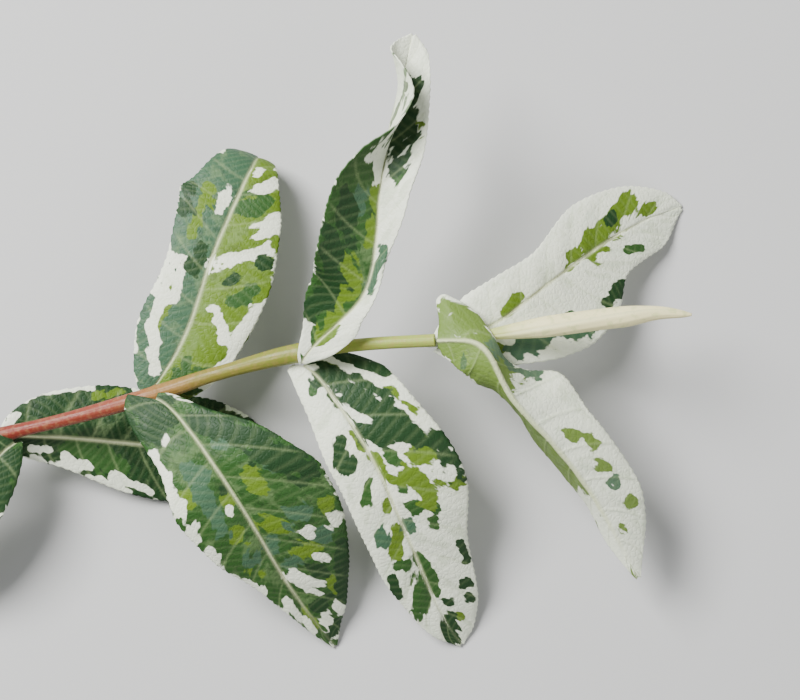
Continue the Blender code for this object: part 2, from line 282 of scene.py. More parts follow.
line = route(STEM_ROUTE, STEM_RINGS)
shares = np.linspace(0, 1, STEM_RINGS + 1)
turn = np.arange(STEM_SIDES) / STEM_SIDES * 2 * math.pi
fibres = (
    FIBRE_HEIGHTS[0] * np.sin(9 * turn + 2.0)[None]
    + FIBRE_HEIGHTS[1] * np.sin(17 * turn[None] + 40 * shares[:, None])
)
scars = sum(
    SCAR_HEIGHT * np.exp(-(((shares[:, None] - at) / SCAR_WIDTH) ** 2))
    * (0.6 + 0.4 * np.cos(turn[None] - facing))
    for at, facing in SCARS
)
radii = smooth(STEM_RADIUS, shares)[:, None] * (1 + fibres) + scars
places, walls = limb(line, radii, STEM_SIDES)
places, faces = with_caps(places, walls, line, STEM_SIDES)
along = np.append(np.repeat(shares, STEM_SIDES), (0, 1))
below = np.append(np.tile(-np.sin(turn), STEM_RINGS + 1), (0, 0))
cut = np.append(np.zeros(len(along) - 2), (1, 0))

bark, build, shader = new_finish("stem bark", 0.42)
blotch = build.noise(420, 3)
ramp = build.node("ShaderNodeValToRGB")
while len(ramp.color_ramp.elements) < len(STEM_TONES):
    ramp.color_ramp.elements.new(1.0)
for stop, (share, tone) in zip(ramp.color_ramp.elements, STEM_TONES):
    stop.position = share
    stop.color = (*tone, 1)
build.fill(ramp.inputs[0], build.maths("ADD", build.field("along"), build.swing(blotch, 0.10)))
# Painted shade: the side of the stem that faces down is mixed towards a darker tone.
painted_underside_shade = build.times(build.between(build.field("below"), -0.2, 0.9), 0.45)
streak = build.times(build.between(build.noise(1500, 4), 0.42, 0.70), 0.30)
tone = build.mix(painted_underside_shade, ramp.outputs[0], STEM_PAINTED_SHADE)
tone = build.mix(streak, tone, STEM_FLECK)
tone = build.mix(build.between(build.field("cut"), 0.05, 0.5), tone, STEM_PITH)
build.fill(shader.inputs["Base Color"], tone)
build.fill(shader.inputs["Roughness"], build.between(blotch, 0.2, 0.8, 0.36, 0.52))
build.fill(shader.inputs["Normal"], build.bump(build.noise(2600, 3), 0.35, 0.00012))
piece("stem", places, faces, {"along": along, "below": below, "cut": cut}, bark)

# The young leaf at the tip is still rolled round itself into a tapering cream scroll,
# yellow-green where it leaves the stem. Its free edge winds a little as it runs to the
# tip, where it shows as a low lip.
ROLL_ROUTE = (
    (5.4, 1.45, 17.2), (12.4, 2.2, 17.1), (21.6, 3.5, 17.8),
    (32.0, 4.8, 18.3), (37.0, 5.3, 18.6), (41.3, 5.0, 18.8),
)
ROLL_RADIUS = (
    (0.00, 0.35), (0.20, 0.75), (0.33, 1.20), (0.45, 1.50),
    (0.72, 1.50), (0.86, 1.00), (0.96, 0.55), (1.00, 0.20),
)
ROLL_RINGS, ROLL_SIDES = 300, 96
ROLL_LIP, ROLL_VEIN_HEIGHT, ROLL_VEINS = 0.13, 0.012, 11
LIP_WIDTH = 0.05
ROLL_BASE, ROLL_CREAM = (0.32, 0.42, 0.05), (0.90, 0.83, 0.44)
ROLL_MOTTLE, ROLL_EDGE = (0.52, 0.60, 0.24), (0.60, 0.62, 0.36)

line = route(ROLL_ROUTE, ROLL_RINGS)
shares = np.linspace(0, 1, ROLL_RINGS + 1)
turn = np.arange(ROLL_SIDES) / ROLL_SIDES * 2 * math.pi
wound = (turn[None] / (2 * math.pi) - 0.16 - 0.22 * shares[:, None]) % 1.0
lip = ROLL_LIP * np.clip(wound / 0.94, 0, 1) * np.clip((1 - wound) / LIP_WIDTH, 0, 1)
veins = ROLL_VEIN_HEIGHT * np.sin(2 * math.pi * wound * ROLL_VEINS)
radii = smooth(ROLL_RADIUS, shares)[:, None] * (0.95 + lip + veins)
places, walls = limb(line, radii, ROLL_SIDES)
places, faces = with_caps(places, walls, line, ROLL_SIDES)
along = np.append(np.repeat(shares, ROLL_SIDES), (0, 1))
edge = np.append(np.exp(-(((1 - wound) / LIP_WIDTH) ** 2)).ravel(), (0, 0))

cream, build, shader = new_finish("rolled leaf", 0.46)
ripened = build.maths("ADD", build.field("along"), build.times(build.noise(500, 2), 0.16))
mottle = build.times(build.between(build.noise(900, 3), 0.52, 0.66), 0.45)
tone = build.mix(build.between(ripened, 0.16, 0.52), ROLL_BASE, ROLL_CREAM)
tone = build.mix(mottle, tone, ROLL_MOTTLE)
tone = build.mix(build.times(build.field("edge"), 0.5), tone, ROLL_EDGE)
build.fill(shader.inputs["Base Color"], tone)
build.fill(shader.inputs["Normal"], build.bump(build.noise(2600, 3), 0.2, 0.0001))
piece("leaf_tip_rolled", places, faces, {"along": along, "edge": edge}, cream)

# The open leaves are thin blades with a finely toothed margin. A pale midrib stands out
# of the underside and sinks into the face, and about nine veins a side run from it.
# Sizes are in millimetres, and VEIN_LEAN is a share of the midrib.
BLADE_THICKNESS = 0.32
BLADE_ALONG, BLADE_ACROSS = 288, 64
TOOTH_PITCH, TOOTH_DEPTH, TOOTH_CREST = 1.05, 0.17, 0.72
MARGIN_FROM = 0.86
VEINS_A_SIDE, VEIN_LEAN, VEIN_WIDTH, VEIN_RIDGE = 9, 0.06, 0.20, 0.12
MIDRIB_WIDTH, MIDRIB_RIDGE, MIDRIB_GROOVE = 0.26, 0.34, 0.09
QUILT_HEIGHT, RIPPLE_HEIGHT = 0.13, 0.10
PATCH_SPREAD = 1.2
USUAL_SWEEP = ((0, -70), (0.1, -35), (0.25, 0), (0.5, 18), (0.8, 30), (1, 50))
TONES = {
    "white": (0.82, 0.86, 0.69),
    "lime": (0.100, 0.178, 0.006),
    "green": (0.021, 0.076, 0.010),
    "teal": (0.042, 0.106, 0.053),
    "deep": (0.007, 0.038, 0.006),
}
LAYERS = ("green", "lime", "teal", "white", "deep")
PALE_GREEN, PALE_SHADE = (0.22, 0.32, 0.13), (0.70, 0.78, 0.60)
VEIN_TONE, MIDRIB_TONE, UNDER_TONE = (0.42, 0.52, 0.24), (0.62, 0.66, 0.38), (0.58, 0.66, 0.46)

# Each open leaf is named for where it sits, and its halves for the side on which they
# lie when looking along the midrib from base to tip. Lengths are in millimetres and
# angles in degrees, keyed by share of the midrib where they change along it.
LEAVES = {
    "leaf_base_front": {
        "base": (-56.0, -13.6, 10.3),
        "length": 38.0,
        "heading": ((0, 214), (0.15, 228), (0.5, 231), (1, 224)),
        "pitch": ((0, 14), (0.15, 6), (0.5, -20), (1, -28)),
        "rests": True,
        "left": {
            "reach": (
                (0, 1.2), (0.1, 4), (0.25, 6.4), (0.45, 8), (0.65, 7.4), (0.85, 4.4), (1, 0.5),
            ),
            "lift": 8,
            "curl": -20,
        },
        "right": {
            "reach": (
                (0, 0.8), (0.1, 4.4), (0.25, 6.6), (0.45, 7.6), (0.65, 7), (0.85, 4), (1, 0.5),
            ),
            "lift": ((0, 22), (0.25, 10), (1, 8)),
            "curl": -22,
            "sweep": ((0, 0), (0.1, -30), (0.25, 0), (0.5, 18), (0.8, 30), (1, 50)),
        },
    },
    "leaf_base_back": {
        "base": (-58.0, -12.7, 7.3),
        "length": 41.5,
        "heading": ((0, 0), (0.15, -2), (0.3, -6), (1, -5)),
        "pitch": ((0, -12), (0.5, -10), (1, -6)),
        "rests": True,
        "left": {
            "reach": (
                (0, 1), (0.1, 4.9), (0.2, 7), (0.35, 8.4),
                (0.6, 8.5), (0.75, 7), (0.9, 3.2), (1, 0.5),
            ),
            "lift": 5,
            "curl": -20,
        },
        "right": {
            "reach": (
                (0, 1), (0.1, 3.5), (0.2, 4.3), (0.4, 7.6),
                (0.55, 8.9), (0.75, 7.2), (0.9, 3.4), (1, 0.5),
            ),
            "lift": 0,
            "curl": -20,
        },
    },
    "leaf_lower_back": {
        "base": (-36.0, -5.6, 10.3),
        "length": 45.0,
        "heading": ((0, 50), (0.15, 62), (0.35, 73), (0.6, 67), (1, 67)),
        "pitch": ((0, 4), (0.25, 2), (0.5, -9), (0.7, -16), (0.8, -40), (0.9, -85), (1, -105)),
        "rests": True,
        "left": {
            "reach": (
                (0, 2), (0.1, 5.4), (0.22, 7.3), (0.4, 6.4),
                (0.62, 8.4), (0.75, 7), (0.9, 4), (1, 0.6),
            ),
            "lift": 10,
            "curl": -25,
            "sweep": (
                (0, -65), (0.1, -35), (0.25, 0), (0.55, 14), (0.75, -12), (0.9, -10), (1, 10),
            ),
        },
        "right": {
            "reach": (
                (0, 2), (0.1, 5.8), (0.2, 7.9), (0.4, 9.7), (0.6, 7.9),
                (0.7, 6.2), (0.8, 4.2), (0.9, 2.8), (1, 0.6),
            ),
            "lift": 10,
            "curl": -25,
            "sweep": ((0, -65), (0.1, -35), (0.25, 0), (0.6, 15), (0.8, 5), (1, 20)),
        },
    },
    "leaf_lower_front": {
        "base": (-35.1, -7.1, 13.9),
        "length": 49.0,
        "heading": (
            (0, -20), (0.06, -44), (0.2, -54), (0.35, -58), (0.6, -63), (0.78, -58), (1, -54),
        ),
        "pitch": ((0, 10), (0.15, 12), (0.35, -12), (0.6, -28), (1, -32)),
        "rests": True,
        "left": {
            "reach": (
                (0, 1), (0.1, 4), (0.2, 10.8), (0.3, 14.6), (0.4, 14.4),
                (0.6, 11.7), (0.8, 7), (0.9, 3.7), (1, 0.5),
            ),
            "lift": 8,
            "curl": -20,
            "sweep": ((0, 0), (0.1, 15), (0.25, 28), (0.6, 30), (1, 45)),
        },
        "right": {
            "reach": (
                (0, 4.3), (0.1, 8.1), (0.2, 7.2), (0.35, 9.1),
                (0.5, 7.8), (0.7, 3.8), (0.85, 2.2), (1, 0.5),
            ),
            "lift": ((0, 14), (0.2, 10), (1, 10)),
            "curl": -25,
            "sweep": ((0, -80), (0.1, -45), (0.25, -5), (0.5, 10), (0.8, 20), (1, 40)),
        },
    },
    "leaf_middle_upper": {
        "base": (-14.0, -1.8, 16.4),
        "length": 51.0,
        "heading": ((0, 68), (0.06, 44), (0.18, 42), (0.35, 79), (0.5, 87), (0.65, 80), (1, 74)),
        "pitch": ((0, 45), (0.03, 26), (0.08, 10), (0.2, 16), (0.4, 10), (0.65, 2), (1, -4)),
        "left": {
            "reach": (
                (0, 0.5), (0.1, 3.1), (0.2, 7), (0.35, 8.8), (0.5, 8.4),
                (0.65, 6.6), (0.8, 6.6), (0.9, 4.1), (1, 0.5),
            ),
            "lift": (
                (0, 5), (0.4, 12), (0.52, 25), (0.6, 50), (0.68, 95),
                (0.76, 110), (0.84, 80), (0.9, 35), (1, 5),
            ),
            "curl": ((0, 0), (0.5, 20), (0.7, 10), (1, 0)),
            "sweep": ((0, -60), (0.1, -25), (0.25, 0), (0.5, 22), (0.65, 30), (0.8, 35), (1, 50)),
        },
        "right": {
            "reach": (
                (0, 0.5), (0.1, 4.5), (0.2, 2.6), (0.35, 1.8), (0.5, 4.8),
                (0.65, 6.1), (0.8, 5.3), (0.9, 4), (1, 0.5),
            ),
            "lift": ((0, 0), (0.3, 30), (0.52, 28), (0.66, 8), (1, 4)),
            "curl": 0,
            "sweep": ((0, 0), (0.1, 45), (0.2, 35), (0.35, 10), (0.5, 20), (0.8, 35), (1, 50)),
        },
    },
    "leaf_middle_lower": {
        "base": (-13.9, -2.3, 14.0),
        "length": 51.0,
        "heading": ((0, -30), (0.08, -52), (0.25, -58), (0.45, -67), (0.75, -68), (1, -54)),
        "pitch": ((0, 8), (0.15, 6), (0.35, -10), (0.6, -25), (1, -28)),
        "rests": True,
        "left": {
            "reach": (
                (0, 1), (0.05, 6.5), (0.1, 9), (0.2, 10), (0.4, 12),
                (0.6, 8.9), (0.8, 7.2), (0.9, 4.8), (1, 0.5),
            ),
            "lift": ((0, -4), (0.25, 5), (1, 5)),
            "curl": -20,
            "sweep": ((0, 0), (0.05, 12), (0.2, 15), (0.5, 20), (0.8, 30), (1, 50)),
        },
        "right": {
            "reach": (
                (0, 1.5), (0.05, 4.2), (0.15, 4.8), (0.3, 6.2),
                (0.6, 6.4), (0.8, 4.7), (0.9, 3.2), (1, 0.5),
            ),
            "lift": 10,
            "curl": -25,
        },
    },
    "leaf_top_upper": {
        "base": (5.5, 0.4, 16.2),
        "length": 45.5,
        "heading": ((0, 20), (0.15, 24), (0.28, 38), (0.6, 35), (0.8, 28), (1, 14)),
        "pitch": ((0, -5), (0.2, -12), (0.45, -26), (1, -24)),
        "rests": True,
        "left": {
            "reach": (
                (0, 1.5), (0.1, 4.3), (0.2, 5.8), (0.4, 5),
                (0.6, 7.8), (0.75, 6.9), (0.9, 3.9), (1, 0.5),
            ),
            "lift": ((0, 2), (0.3, 18), (1, 20)),
            "curl": -25,
        },
        "right": {
            "reach": (
                (0, 1), (0.1, 4.2), (0.2, 6.5), (0.3, 9.9), (0.4, 11.4),
                (0.5, 10.8), (0.66, 6.2), (0.8, 5.8), (1, 0.5),
            ),
            "lift": -5,
            "curl": -10,
        },
    },
    "leaf_top_lower": {
        "base": (5.4, 1.3, 18.3),
        "length": 49.5,
        "heading": (
            (0, 2), (0.06, 0), (0.16, -50), (0.22, -66), (0.3, -56),
            (0.4, -46), (0.6, -52), (0.8, -60), (1, -61),
        ),
        "pitch": ((0, 26), (0.12, 20), (0.2, -4), (0.5, -17), (1, -22)),
        "midrib_side": 1,
        "left": {
            "reach": (
                (0, 2), (0.03, 6.6), (0.06, 7.3), (0.12, 3.6), (0.18, 3), (0.25, 5.5),
                (0.35, 9.8), (0.5, 7.6), (0.7, 7.4), (0.8, 6), (0.9, 3.1), (1, 0.5),
            ),
            "lift": (
                (0, -5), (0.06, -5), (0.12, -40), (0.2, -50),
                (0.3, -42), (0.4, -25), (0.6, -10), (1, -5),
            ),
            "curl": ((0, -25), (0.15, -10), (1, -15)),
            "sweep": ((0, 0), (0.03, -20), (0.07, -22), (0.12, 0), (0.4, 8), (0.8, 25), (1, 45)),
        },
        "right": {
            "reach": (
                (0, 1), (0.05, 3), (0.12, 4.6), (0.2, 4.6), (0.35, 3.4),
                (0.5, 5.8), (0.7, 4.4), (0.85, 2.6), (1, 0.5),
            ),
            "lift": (
                (0, -5), (0.15, -12), (0.22, -30), (0.28, -65),
                (0.35, -75), (0.5, -68), (0.7, -66), (0.85, -45), (1, -10),
            ),
            "curl": -10,
            "sweep": ((0, 0), (0.03, -25), (0.06, -25), (0.15, -5), (0.5, 10), (1, 40)),
        },
    },
}

# The dapples of each leaf. Its two grounds, left and right of the midrib, come first.
# Each patch on them then has a tone, the share of the midrib and the place across at
# its start, the same at its end, and its radius in millimetres.
DAPPLES = {
    "leaf_base_front": (("green", "deep"), (
        ("deep", 0.1, -0.5, 0.3, -0.6, 3.0), ("deep", 0.45, -0.3, 0.6, -0.5, 2.6),
        ("lime", 0.3, 0.3, 0.45, 0.6, 1.5), ("teal", 0.55, 0.3, 0.7, 0.5, 2.0),
        ("white", 0.12, 0.93, 0.42, 0.95, 0.8), ("white", 0.5, 0.9, 0.62, 0.95, 0.9),
        ("white", 0.2, -0.95, 0.4, -0.95, 0.7), ("lime", 0.5, -0.7, 0.6, -0.85, 1.3),
        ("teal", 0.2, 0.25, 0.35, 0.5, 1.4), ("white", 0.7, -0.3, 0.76, -0.6, 0.9),
        ("deep", 0.75, 0.2, 0.95, 0.4, 1.8), ("lime", 0.15, 0.6, 0.25, 0.7, 1.1),
    )),
    # This leaf lies under the stem, and its deep ground on both halves is partly its own dark green
    # and partly painted shade.
    "leaf_base_back": (("deep", "deep"), (
        ("white", 0.12, 0.5, 0.17, 0.5, 0.55), ("white", 0.22, 0.6, 0.3, 0.7, 0.6),
        ("white", 0.37, 0.72, 0.48, 0.86, 0.7), ("white", 0.05, -0.8, 0.1, -0.8, 0.6),
        ("white", 0.14, 0.97, 0.24, 0.97, 0.7), ("white", 0.3, 0.97, 0.42, 0.97, 0.6),
        ("white", 0.54, 0.96, 0.62, 0.97, 0.7), ("white", 0.72, 0.97, 0.8, 0.97, 0.6),
        ("white", 0.2, -0.97, 0.28, -0.97, 0.5), ("white", 0.4, -0.97, 0.46, -0.97, 0.5),
        ("green", 0.25, 0.3, 0.4, 0.5, 1.8), ("green", 0.5, -0.3, 0.66, -0.5, 2.0),
        ("lime", 0.3, -0.8, 0.36, -0.9, 0.8), ("teal", 0.6, 0.35, 0.7, 0.55, 1.2),
    )),
    "leaf_lower_back": (("teal", "lime"), (
        ("white", 0.07, -0.35, 0.2, -0.7, 0.9), ("white", 0.2, -0.7, 0.3, -0.75, 0.8),
        ("white", 0.3, -0.75, 0.4, -0.8, 0.8), ("white", 0.3, -0.95, 0.4, -0.95, 0.9),
        ("lime", 0.2, -0.6, 0.33, -0.65, 0.8), ("white", 0.3, -0.5, 0.42, -0.6, 0.7),
        ("white", 0.63, -0.2, 0.7, -0.2, 0.8), ("lime", 0.5, -0.55, 0.68, -0.55, 0.8),
        ("lime", 0.62, -0.4, 0.63, -0.42, 0.9), ("deep", 0.42, -0.35, 0.46, -0.3, 1.2),
        ("green", 0.1, 0.4, 0.15, 0.8, 1.8), ("white", 0.24, 0.6, 0.3, 0.35, 0.9),
        ("white", 0.15, 0.93, 0.33, 0.93, 1.0), ("white", 0.45, 0.05, 0.52, 0.8, 1.1),
        ("white", 0.56, 0.6, 0.62, 0.9, 1.1), ("white", 0.73, 0.5, 0.78, 0.9, 1.1),
        ("white", 0.78, 0.3, 0.79, 0.32, 0.9), ("green", 0.65, 0.2, 0.7, 0.6, 1.5),
        ("deep", 0.4, 0.4, 0.41, 0.42, 0.9), ("deep", 0.47, 0.8, 0.48, 0.82, 0.9),
        ("green", 0.34, 0.5, 0.38, 0.8, 1.1), ("deep", 0.55, -0.8, 0.66, -0.85, 1.0),
    )),
    "leaf_lower_front": (("green", "green"), (
        ("white", 0.18, 0.95, 0.42, 0.95, 0.9), ("white", 0.37, 0.78, 0.38, 0.8, 1.1),
        ("white", 0.48, 0.9, 0.49, 0.92, 1.0), ("white", 0.62, 0.92, 0.68, 0.95, 0.8),
        ("white", 0.5, -0.55, 0.51, -0.56, 0.9), ("white", 0.46, -0.88, 0.47, -0.9, 1.1),
        ("white", 0.6, -0.65, 0.61, -0.66, 1.0), ("white", 0.68, -0.15, 0.72, -0.5, 1.1),
        ("white", 0.84, -0.4, 0.95, -0.6, 0.9), ("white", 0.15, 0.5, 0.16, 0.52, 0.7),
        ("white", 0.4, 0.2, 0.41, 0.21, 0.6), ("lime", 0.13, 0.65, 0.14, 0.66, 1.2),
        ("lime", 0.3, 0.75, 0.31, 0.76, 1.4), ("lime", 0.36, 0.12, 0.37, 0.14, 1.0),
        ("lime", 0.46, 0.35, 0.47, 0.37, 1.3), ("lime", 0.6, 0.6, 0.61, 0.62, 1.1),
        ("lime", 0.32, -0.28, 0.33, -0.29, 1.5), ("lime", 0.47, -0.15, 0.47, -0.35, 1.2),
        ("lime", 0.57, -0.4, 0.57, -0.65, 1.2), ("lime", 0.42, -0.85, 0.43, -0.86, 1.2),
        ("teal", 0.25, 0.35, 0.45, 0.5, 1.2), ("teal", 0.57, 0.45, 0.58, 0.46, 1.2),
        ("teal", 0.45, -0.45, 0.45, -0.6, 1.4), ("teal", 0.55, -0.1, 0.56, -0.11, 1.1),
        ("teal", 0.63, -0.2, 0.64, -0.21, 1.1), ("teal", 0.53, -0.7, 0.54, -0.71, 1.3),
        ("teal", 0.2, -0.2, 0.2, -0.5, 0.9), ("teal", 0.26, -0.6, 0.27, -0.61, 1.4),
        ("deep", 0.0, 0.6, 0.12, 0.6, 2.6), ("deep", 0.33, 0.1, 0.34, 0.11, 0.8),
        ("deep", 0.55, -0.93, 0.78, -0.93, 1.1), ("deep", 0.66, -0.55, 0.67, -0.56, 1.5),
        ("deep", 0.78, -0.6, 0.83, -0.3, 1.2), ("deep", 0.88, -0.9, 0.95, -0.3, 0.8),
        ("deep", 0.12, -0.6, 0.3, -0.8, 2.0), ("lime", 0.7, -0.7, 0.76, -0.8, 0.9),
        ("white", 0.74, -0.3, 0.76, -0.5, 0.6), ("white", 0.8, -0.75, 0.85, -0.9, 0.7),
        ("white", 0.75, 0.5, 0.9, 0.8, 0.6), ("lime", 0.82, 0.1, 0.9, 0.2, 0.6),
    )),
    "leaf_middle_upper": (("green", "white"), (
        ("lime", 0.1, -0.1, 0.35, -0.5, 1.5), ("deep", 0.16, -0.7, 0.4, -0.8, 1.8),
        ("deep", 0.4, -0.5, 0.5, -0.7, 1.4), ("white", 0.05, -0.3, 0.12, -0.8, 0.8),
        ("teal", 0.5, -0.4, 0.52, -0.45, 1.3), ("white", 0.6, -0.1, 0.66, -0.3, 1.2),
        ("lime", 0.42, -0.12, 0.58, -0.12, 0.7), ("white", 0.0, -1.0, 0.12, -1.0, 0.6),
        ("white", 0.72, -0.3, 0.95, -0.6, 4.0), ("deep", 0.76, -0.2, 0.8, -0.8, 0.4),
        ("lime", 0.86, -0.3, 0.9, -0.6, 0.5), ("deep", 0.62, 0.3, 0.84, 0.45, 1.5),
        ("white", 0.9, 0.2, 1.0, 0.6, 2.0), ("lime", 0.7, 0.75, 0.71, 0.76, 0.9),
        ("white", 0.62, 0.6, 0.63, 0.62, 0.8), ("green", 0.6, 0.4, 0.61, 0.41, 1.2),
        ("teal", 0.66, 0.25, 0.67, 0.26, 1.1), ("teal", 0.3, 0.3, 0.4, 0.6, 0.8),
    )),
    "leaf_middle_lower": (("white", "white"), (
        ("green", 0.09, 0.45, 0.1, 0.46, 0.7), ("deep", 0.24, 0.55, 0.3, 0.62, 1.2),
        ("lime", 0.23, 0.12, 0.29, 0.05, 0.5), ("green", 0.38, 0.35, 0.42, 0.5, 0.9),
        ("teal", 0.53, 0.6, 0.54, 0.61, 1.2), ("lime", 0.55, 0.1, 0.6, 0.45, 0.9),
        ("lime", 0.46, 0.15, 0.47, 0.16, 0.7), ("deep", 0.66, 0.78, 0.72, 0.9, 0.6),
        ("green", 0.64, 0.45, 0.66, 0.3, 0.7), ("green", 0.72, 0.1, 0.8, 0.5, 1.1),
        ("green", 0.8, 0.85, 0.81, 0.86, 0.8), ("deep", 0.06, -0.1, 0.2, -0.5, 2.2),
        ("deep", 0.12, -0.3, 0.24, -0.45, 2.4), ("deep", 0.24, -0.1, 0.3, -0.6, 1.7),
        ("lime", 0.33, -0.55, 0.33, -0.7, 2.1), ("lime", 0.22, -0.8, 0.23, -0.82, 1.2),
        ("lime", 0.17, -0.7, 0.18, -0.72, 1.2), ("lime", 0.05, -0.3, 0.06, -0.32, 1.1),
        ("deep", 0.3, -0.87, 0.4, -0.93, 1.4), ("lime", 0.42, -0.9, 0.43, -0.91, 1.1),
        ("deep", 0.04, -0.85, 0.1, -0.9, 1.1), ("white", 0.05, -0.6, 0.27, -0.8, 0.6),
        ("lime", 0.32, -0.05, 0.4, -0.1, 0.8), ("green", 0.33, -0.25, 0.34, -0.26, 1.3),
        ("lime", 0.4, -0.35, 0.46, -0.55, 1.7), ("green", 0.48, -0.25, 0.49, -0.26, 1.1),
        ("green", 0.49, -0.55, 0.5, -0.56, 0.9), ("green", 0.54, -0.45, 0.55, -0.46, 0.9),
        ("teal", 0.54, -0.08, 0.55, -0.09, 0.9), ("green", 0.43, -0.2, 0.44, -0.21, 0.9),
        ("green", 0.65, -0.05, 0.78, -0.15, 0.8), ("deep", 0.62, -0.85, 0.68, -0.88, 0.6),
        ("deep", 0.75, -0.75, 0.76, -0.76, 0.8), ("deep", 0.8, -0.8, 0.81, -0.81, 0.8),
        ("deep", 0.82, -0.3, 0.83, -0.31, 0.9), ("deep", 0.88, -0.2, 0.97, 0.2, 1.0),
        ("lime", 0.87, -0.5, 0.88, -0.51, 0.8),
    )),
    "leaf_top_upper": (("white", "white"), (
        ("lime", 0.62, -0.1, 0.78, -0.55, 1.9), ("deep", 0.7, -0.4, 0.71, -0.42, 0.9),
        ("lime", 0.85, -0.35, 0.86, -0.36, 1.0), ("lime", 0.54, -0.15, 0.55, -0.16, 0.9),
        ("lime", 0.51, 0.0, 0.52, 0.0, 0.7), ("lime", 0.24, -0.1, 0.31, -0.2, 0.6),
        ("deep", 0.55, 0.8, 0.6, 0.98, 1.2), ("deep", 0.52, 0.75, 0.53, 0.76, 0.8),
        ("teal", 0.25, 0.6, 0.42, 0.7, 1.8), ("green", 0.66, -0.2, 0.74, -0.5, 0.8),
        ("green", 0.34, 0.45, 0.4, 0.5, 0.7), ("green", 0.72, 0.5, 0.76, 0.6, 0.7),
        ("lime", 0.12, 0.5, 0.18, 0.6, 0.7),
    )),
    # The lime ground of this leaf's right half, which drops away steeply, is partly its own
    # yellow-green and partly painted light and shade.
    "leaf_top_lower": (("white", "lime"), (
        ("teal", 0.15, -0.5, 0.3, -0.9, 1.3), ("lime", -0.02, -0.5, 0.20, -0.5, 4.2),
        ("green", 0.16, 0.1, 0.2, 0.4, 0.8), ("lime", 0.5, -0.4, 0.51, -0.41, 1.1),
        ("lime", 0.55, -0.6, 0.56, -0.61, 1.0), ("lime", 0.62, -0.5, 0.63, -0.51, 1.0),
        ("lime", 0.73, -0.7, 0.74, -0.71, 0.9), ("lime", 0.82, -0.25, 0.83, -0.26, 0.9),
        ("teal", 0.68, -0.5, 0.69, -0.51, 0.8), ("white", 0.72, 0.4, 0.92, 0.5, 2.4),
        ("green", 0.1, 0.5, 0.14, 0.8, 0.9),
    )),
}


class Rib:
    """A midrib that leaves its base in a heading and a pitch, both keyed by share."""

    def __init__(self, base, length, heading, pitch, steps=240):
        self.s = np.linspace(0, 1, steps + 1)
        turn = np.radians(smooth(heading, self.s))
        rise = np.radians(smooth(pitch, self.s))
        level = np.cos(rise)
        self.forward = np.stack([level * np.cos(turn), level * np.sin(turn), np.sin(rise)], 1)
        self.right = np.stack([np.sin(turn), -np.cos(turn), np.zeros_like(turn)], 1)
        self.up = np.cross(self.right, self.forward)
        moves = (self.forward[1:] + self.forward[:-1]) / 2 * length / steps
        self.points = np.array(base) + np.vstack([np.zeros(3), np.cumsum(moves, 0)])

    def at(self, name, s):
        """Points or directions along the rib at the shares s."""
        values = getattr(self, name)
        return np.stack([np.interp(s, self.s, values[:, k]) for k in range(3)], -1)


def blade_points(rib, left, right, s, t):
    """The blade at shares s of the midrib and t across, from -1 at left to 1 at right."""
    s, t = np.asarray(s, float), np.asarray(t, float)
    forward, outward, up = rib.at("forward", s), rib.at("right", s), rib.at("up", s)
    placed = rib.at("points", s)
    for half, side in ((left, -1), (right, 1)):
        mine = t * side > 0
        u = np.abs(t[mine])
        share = s[mine]
        reach = smooth(half["reach"], share)
        lift = np.radians(smooth(half["lift"], share))
        curl = np.radians(smooth(half["curl"], share))
        sweep = np.radians(smooth(half.get("sweep", USUAL_SWEEP), share))
        arc = u * np.sinc(curl * u / 2 / math.pi) * np.cos(sweep) * reach
        across = side * arc * np.cos(lift + curl * u / 2)
        rise = arc * np.sin(lift + curl * u / 2)
        along = u * np.sin(sweep) * reach
        placed[mine] += (
            across[:, None] * outward[mine]
            + rise[:, None] * up[mine]
            + along[:, None] * forward[mine]
        )
    return placed


# One dapple laid over what is under it is an effect that all the leaves share. Its field
# is 1 in the middle of a patch and 0 at its rim, and two noises make the rim ragged.
BLOTCH_SWING, FLECK_SWING = 3.4, 1.1
dapple = bpy.data.node_groups.new("dapple", "ShaderNodeTree")
for word, kind in (
    ("Ground", "NodeSocketColor"), ("Dapple", "NodeSocketColor"),
    ("Field", "NodeSocketFloat"), ("Blotch", "NodeSocketFloat"), ("Fleck", "NodeSocketFloat"),
):
    dapple.interface.new_socket(name=word, in_out="INPUT", socket_type=kind)
dapple.interface.new_socket(name="Colour", in_out="OUTPUT", socket_type="NodeSocketColor")
build = Finish(dapple)
given = build.node("NodeGroupInput").outputs
noises = build.maths(
    "ADD", build.swing(given["Blotch"], BLOTCH_SWING), build.swing(given["Fleck"], FLECK_SWING))
mask = build.between(build.maths("ADD", given["Field"], noises), 0.02, 0.24)
build.fill(build.node("NodeGroupOutput").inputs[0], build.mix(mask, given["Ground"], given["Dapple"]))


